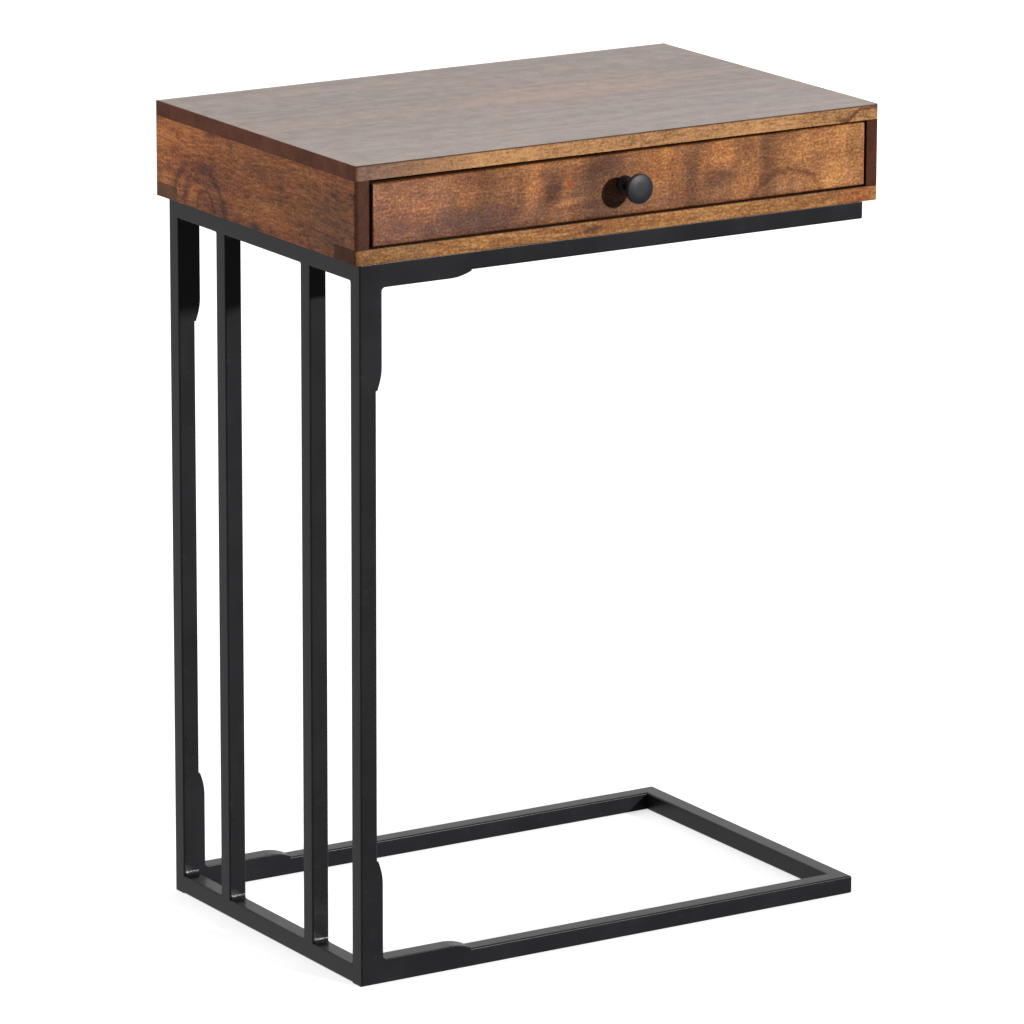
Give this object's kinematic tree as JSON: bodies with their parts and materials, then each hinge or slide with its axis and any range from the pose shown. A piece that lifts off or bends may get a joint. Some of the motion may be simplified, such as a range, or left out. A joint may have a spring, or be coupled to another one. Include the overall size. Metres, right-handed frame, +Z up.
{
  "type": "side table with drawer",
  "caption": "C-shaped side table: a shallow solid-wood case with an inset drawer and round knob, on a black square-tube steel frame that slides under a sofa or bed.",
  "frame": {"origin": "on the floor, in the middle of the table's outline seen from above, drawer knob included", "axes": "+Z up, +X from the posts to the open end of the C, +Y from the drawer front to the back"},
  "size_m": [0.487, 0.341, 0.66],
  "materials": {
    "top_wood": "satin greyish-brown oiled hardwood with faint board seams",
    "case_wood": "satin red-brown oiled hardwood with figured grain and darker end grain",
    "drawer_wood": "satin figured hardwood, golden to purple brown",
    "inner_wood": "plain planed wood, unstained",
    "ply": "plain thin plywood, unstained",
    "black_steel": "satin black powder coat",
    "knob_black": "semi-gloss black",
    "zinc": "bright zinc plate"
  },
  "bodies": {
    "table": {"top_board": "top_wood", "left_side_panel": "case_wood", "right_side_panel": "case_wood", "back_panel": "case_wood", "front_bottom_rail": "case_wood", "rear_bottom_rail": "case_wood", "left_runner": "inner_wood", "right_runner": "inner_wood", "left_stop_block": "inner_wood", "right_stop_block": "inner_wood", "catch_block": "inner_wood", "catch_screw_left": "zinc", "catch_screw_right": "zinc", "top_front_rail": "black_steel", "top_rear_rail": "black_steel", "top_left_rail": "black_steel", "top_right_rail": "black_steel", "base_front_rail": "black_steel", "base_rear_rail": "black_steel", "base_left_rail": "black_steel", "base_right_rail": "black_steel", "front_post": "black_steel", "rear_post": "black_steel", "inner_front_post": "black_steel", "inner_rear_post": "black_steel", "upper_front_brace": "black_steel", "upper_rear_brace": "black_steel", "lower_front_brace": "black_steel", "lower_rear_brace": "black_steel", "tab_front_left": "black_steel", "tab_front_right": "black_steel", "tab_rear_left": "black_steel", "tab_rear_right": "black_steel", "tab_screw_front_left": "zinc", "tab_screw_front_right": "zinc", "tab_screw_rear_left": "zinc", "tab_screw_rear_right": "zinc"},
    "drawer": {"drawer_front": "drawer_wood", "drawer_left_side": "inner_wood", "drawer_right_side": "inner_wood", "drawer_back": "inner_wood", "drawer_bottom": "ply", "knob": "knob_black", "knob_washer": "zinc", "knob_screw": "zinc"}
  },
  "joints": [
    {"name": "drawer_slide", "type": "slide", "parent": "table", "child": "drawer", "axis": [0, -1, 0], "range_m": [0, 0.22]}
  ]
}
